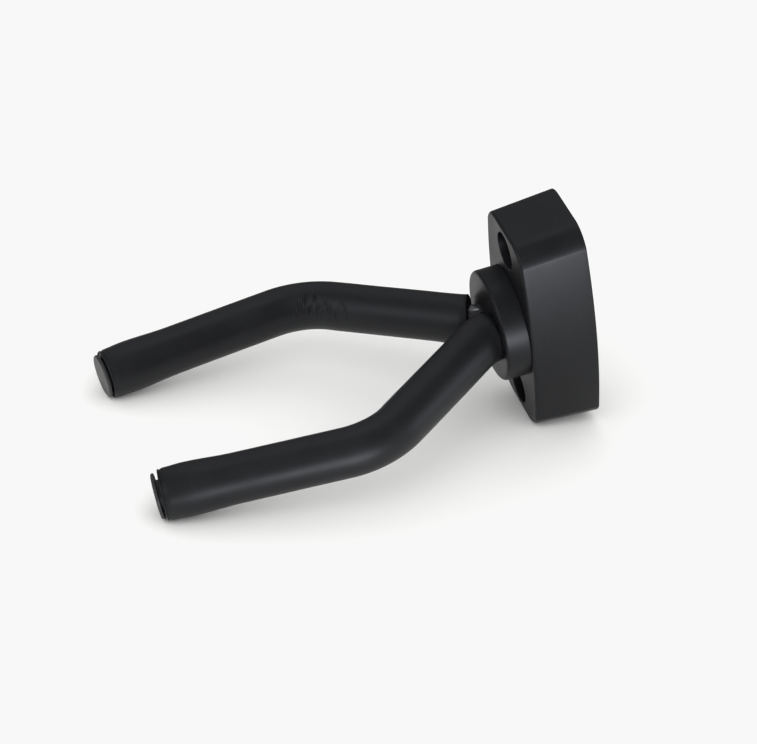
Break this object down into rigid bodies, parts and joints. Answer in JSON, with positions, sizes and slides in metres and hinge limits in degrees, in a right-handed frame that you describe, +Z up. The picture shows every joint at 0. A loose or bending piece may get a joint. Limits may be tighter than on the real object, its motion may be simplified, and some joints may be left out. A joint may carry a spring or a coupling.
{
  "type": "wall guitar hanger",
  "caption": "Wall guitar hanger: a rounded moulded block with a screw hole above and below a round swivel head, which holds a fork of bent steel rods in foam sleeves with end plugs.",
  "frame": {"origin": "centre of the block's back face, on the wall, midway between the two screw holes", "axes": "+Z up as mounted, +Y into the wall, -Y out along the swivel's stem towards the arms' tips, +X to the right as a person facing the wall sees it"},
  "size_m": [0.1052, 0.1551, 0.078],
  "materials": {
    "moulded_black": "satin moulded ABS, near black",
    "foam_rubber": "matt closed-cell foam with a smooth skin",
    "plug_plastic": "fine matt moulded plastic",
    "black_rod": "gloss black coating on steel",
    "raw_steel": "dull mill steel",
    "zinc_steel": "bright zinc plating",
    "nylon": "natural nylon",
    "nut_nylon": "blue nylon locking ring"
  },
  "bodies": {
    "base": {"wall_block": "moulded_black", "pivot_bush": "nylon", "thrust_washer": "nylon", "rear_washer": "zinc_steel"},
    "yoke": {"swivel_head": "moulded_black", "hub_plate": "raw_steel", "pivot_stem": "zinc_steel", "spring_washer": "zinc_steel", "lock_nut": "zinc_steel", "nut_insert": "nut_nylon", "arm_rod_right": "black_rod", "arm_rod_left": "black_rod", "weld_bead_right": "raw_steel", "weld_bead_left": "raw_steel", "sleeve_right": "foam_rubber", "sleeve_left": "foam_rubber", "end_plug_right": "plug_plastic", "end_plug_left": "plug_plastic"}
  },
  "joints": [
    {"name": "yoke_swivel", "type": "hinge", "parent": "base", "child": "yoke", "pos_m": [0, -0.0222, 0], "axis": [0, -1, 0], "continuous": true}
  ]
}
